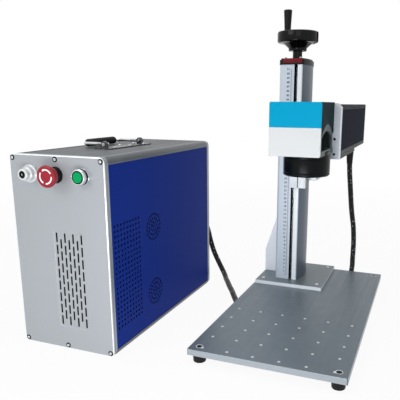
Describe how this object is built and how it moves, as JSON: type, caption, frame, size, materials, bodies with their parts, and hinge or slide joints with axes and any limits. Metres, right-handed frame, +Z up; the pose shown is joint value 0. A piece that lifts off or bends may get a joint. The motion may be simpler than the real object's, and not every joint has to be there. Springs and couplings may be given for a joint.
{
  "type": "laser marking machine",
  "caption": "Bench laser marking machine: a control cabinet joined by a hose to a stand whose screw column lifts a beam box with scan head and lens over a drilled base plate.",
  "frame": {"origin": "on the floor, under the middle of the box that holds the cabinet and the stand without the hose", "axes": "+X to the right along the fronts, +Y from the fronts to the back, +Z up along the column"},
  "size_m": [0.652, 0.688, 0.703],
  "materials": {
    "silver_plate": "satin anodised",
    "raw_aluminium": "brushed",
    "blue_paint": "satin",
    "grey_paint": "satin",
    "blue_grey_anodised": "satin anodised",
    "slate_cover": "satin",
    "cyan_plate": "satin",
    "white_plate": "satin",
    "black_plastic": "matt",
    "gloss_black": "gloss",
    "black_anodised": "anodised",
    "screw_black": "black oxide",
    "screw_steel": "satin",
    "bright_steel": "polished",
    "red_plastic": "semi gloss",
    "red_trim": "satin",
    "green_lens": "gloss",
    "rubber": "matt",
    "glass": "coated",
    "mirror": "polished",
    "bronze": "machined",
    "box_steel": "zinc plated",
    "braided_sleeve": "braided"
  },
  "bodies": {
    "frame": {"cabinet_front_plate": "silver_plate", "cabinet_rear_plate": "silver_plate", "cabinet_frame_rings": "raw_aluminium", "cabinet_corner_rails": "grey_paint", "cabinet_side_right": "blue_paint", "cabinet_side_left": "blue_paint", "cabinet_top_plate": "grey_paint", "cabinet_bottom_plate": "box_steel", "cabinet_screws": "screw_black", "key_lock_housing": "bright_steel", "estop_housing": "black_plastic", "start_button_housing": "bright_steel", "handle_plate": "grey_paint", "laser_source": "black_anodised", "power_supply": "box_steel", "rear_fan_frame": "black_plastic", "mains_inlet": "black_plastic", "cabinet_gland": "black_plastic", "base_plate": "blue_grey_anodised", "base_feet": "rubber", "stand_screws": "screw_steel", "column_foot_plate": "blue_grey_anodised", "column": "blue_grey_anodised", "column_gusset": "raw_aluminium", "column_cap": "black_plastic", "column_cap_trim": "red_trim", "hose_floor": "braided_sleeve"},
    "key_plug": {"key_lock_plug": "black_plastic"},
    "stop_plunger": {"estop_plunger": "black_plastic"},
    "stop_button": {"estop_button": "red_plastic"},
    "start_button": {"start_button_cap": "green_lens"},
    "carry_handle": {"handle_bail": "bright_steel", "handle_grip": "black_plastic"},
    "fan": {"rear_fan_rotor": "black_plastic"},
    "wheel": {"lead_screw": "bright_steel", "handwheel": "gloss_black", "crank_spindle": "bright_steel"},
    "crank": {"crank_grip": "gloss_black"},
    "head": {"inner_carriage": "raw_aluminium", "lead_nut": "bronze", "slide_block": "raw_aluminium", "head_bracket": "raw_aluminium", "beam_box_front_plate": "silver_plate", "beam_box_rails": "grey_paint", "beam_box_panels": "blue_paint", "beam_box_covers": "grey_paint", "beam_box_mount_plate": "raw_aluminium", "head_screws": "screw_black", "head_gland": "black_plastic", "beam_expander": "black_anodised", "scan_frame": "grey_paint", "scan_cover": "slate_cover", "scan_fascia_upper": "cyan_plate", "scan_fascia_lower": "white_plate", "scan_motors": "raw_aluminium", "lens_barrel": "black_anodised", "lens_glass": "glass", "hose_drop": "braided_sleeve"},
    "mirror_x_shaft": {"mirror_x": "mirror"},
    "mirror_y_shaft": {"mirror_y": "mirror"}
  },
  "joints": [
    {"name": "head_lift", "type": "slide", "parent": "frame", "child": "head", "axis": [0, 0, 1], "range_m": [-0.2, 0.09], "deforming": ["hose_drop"]},
    {"name": "wheel_turn", "type": "hinge", "parent": "frame", "child": "wheel", "pos_m": [0.0996, 0.2012, 0.6], "axis": [0, 0, 1], "range_deg": [-6481, 14401]},
    {"name": "crank_grip_spin", "type": "hinge", "parent": "wheel", "child": "crank", "pos_m": [0.06683, 0.22414, 0.67], "axis": [0, 0, 1], "continuous": true},
    {"name": "stop_press", "type": "slide", "parent": "frame", "child": "stop_plunger", "axis": [0, 1, 0], "range_m": [0, 0.004], "stiffness_N_per_m": 400},
    {"name": "stop_twist", "type": "hinge", "parent": "stop_plunger", "child": "stop_button", "pos_m": [-0.2195, -0.3308, 0.348], "axis": [0, 1, 0], "range_deg": [0, 45], "stiffness_Nm_per_rad": 0.05},
    {"name": "start_press", "type": "slide", "parent": "frame", "child": "start_button", "axis": [0, 1, 0], "range_m": [0, 0.003], "stiffness_N_per_m": 400},
    {"name": "key_turn", "type": "hinge", "parent": "frame", "child": "key_plug", "pos_m": [-0.278, -0.3208, 0.348], "axis": [0, 1, 0], "range_deg": [0, 90]},
    {"name": "carry_handle_fold", "type": "hinge", "parent": "frame", "child": "carry_handle", "pos_m": [-0.221, -0.0833, 0.3927], "axis": [0, 1, 0], "range_deg": [0, 90]},
    {"name": "rear_fan_spin", "type": "hinge", "parent": "frame", "child": "fan", "pos_m": [-0.2195, 0.1262, 0.27], "axis": [0, 1, 0], "continuous": true},
    {"name": "mirror_x_turn", "type": "hinge", "parent": "head", "child": "mirror_x_shaft", "pos_m": [0.175, -0.0978, 0.425], "axis": [0, 0, 1], "range_deg": [-12, 12]},
    {"name": "mirror_y_turn", "type": "hinge", "parent": "head", "child": "mirror_y_shaft", "pos_m": [0.2005, -0.0978, 0.425], "axis": [0, 1, 0], "range_deg": [-12, 12]}
  ],
  "couplings": [
    {"joint": "wheel_turn", "follows": "head_lift", "rad_per_m": -1256.6}
  ]
}
